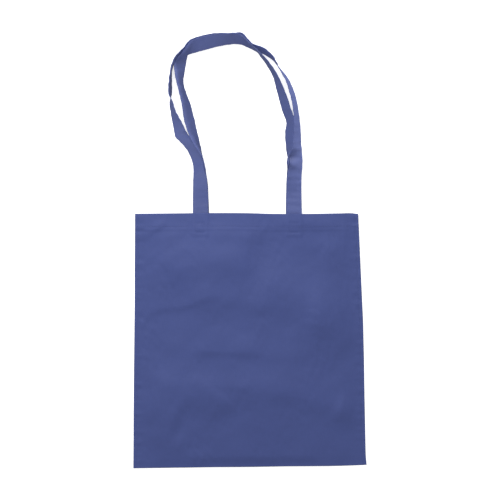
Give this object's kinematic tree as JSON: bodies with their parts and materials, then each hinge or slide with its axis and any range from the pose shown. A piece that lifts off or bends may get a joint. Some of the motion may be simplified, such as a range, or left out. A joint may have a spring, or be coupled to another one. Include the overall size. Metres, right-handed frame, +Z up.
{
  "type": "non-woven bag",
  "caption": "Flat, unprinted shopping bag of non-woven cloth, hemmed at the mouth, with long sewn strap handles, lying on its back with the handles spread above it.",
  "frame": {"origin": "centre of the laid-out bag's outline, handles included, on the surface that the bag lies on", "axes": "+Y from the bottom fold towards the mouth and the handles, +X to the bag's right as it is seen from above, +Z up through the thickness"},
  "size_m": [0.3884, 0.7268, 0.0251],
  "materials": {
    "cloth": "matt spunbond polypropylene with a fine bonded point pattern, muted violet blue",
    "strap": "the same cloth folded and sewn, slightly lighter",
    "thread": "matt polyester sewing thread, in the cloth's colour"
  },
  "bodies": {
    "root": {"bag_body": "cloth", "front_handle": "strap", "back_handle": "strap", "front_hem_thread": "thread", "back_hem_thread": "thread", "left_seam_thread": "thread", "right_seam_thread": "thread", "front_left_box_thread": "thread", "front_right_box_thread": "thread", "back_left_box_thread": "thread", "back_right_box_thread": "thread", "front_handle_thread": "thread", "back_handle_thread": "thread"}
  },
  "joints": []
}
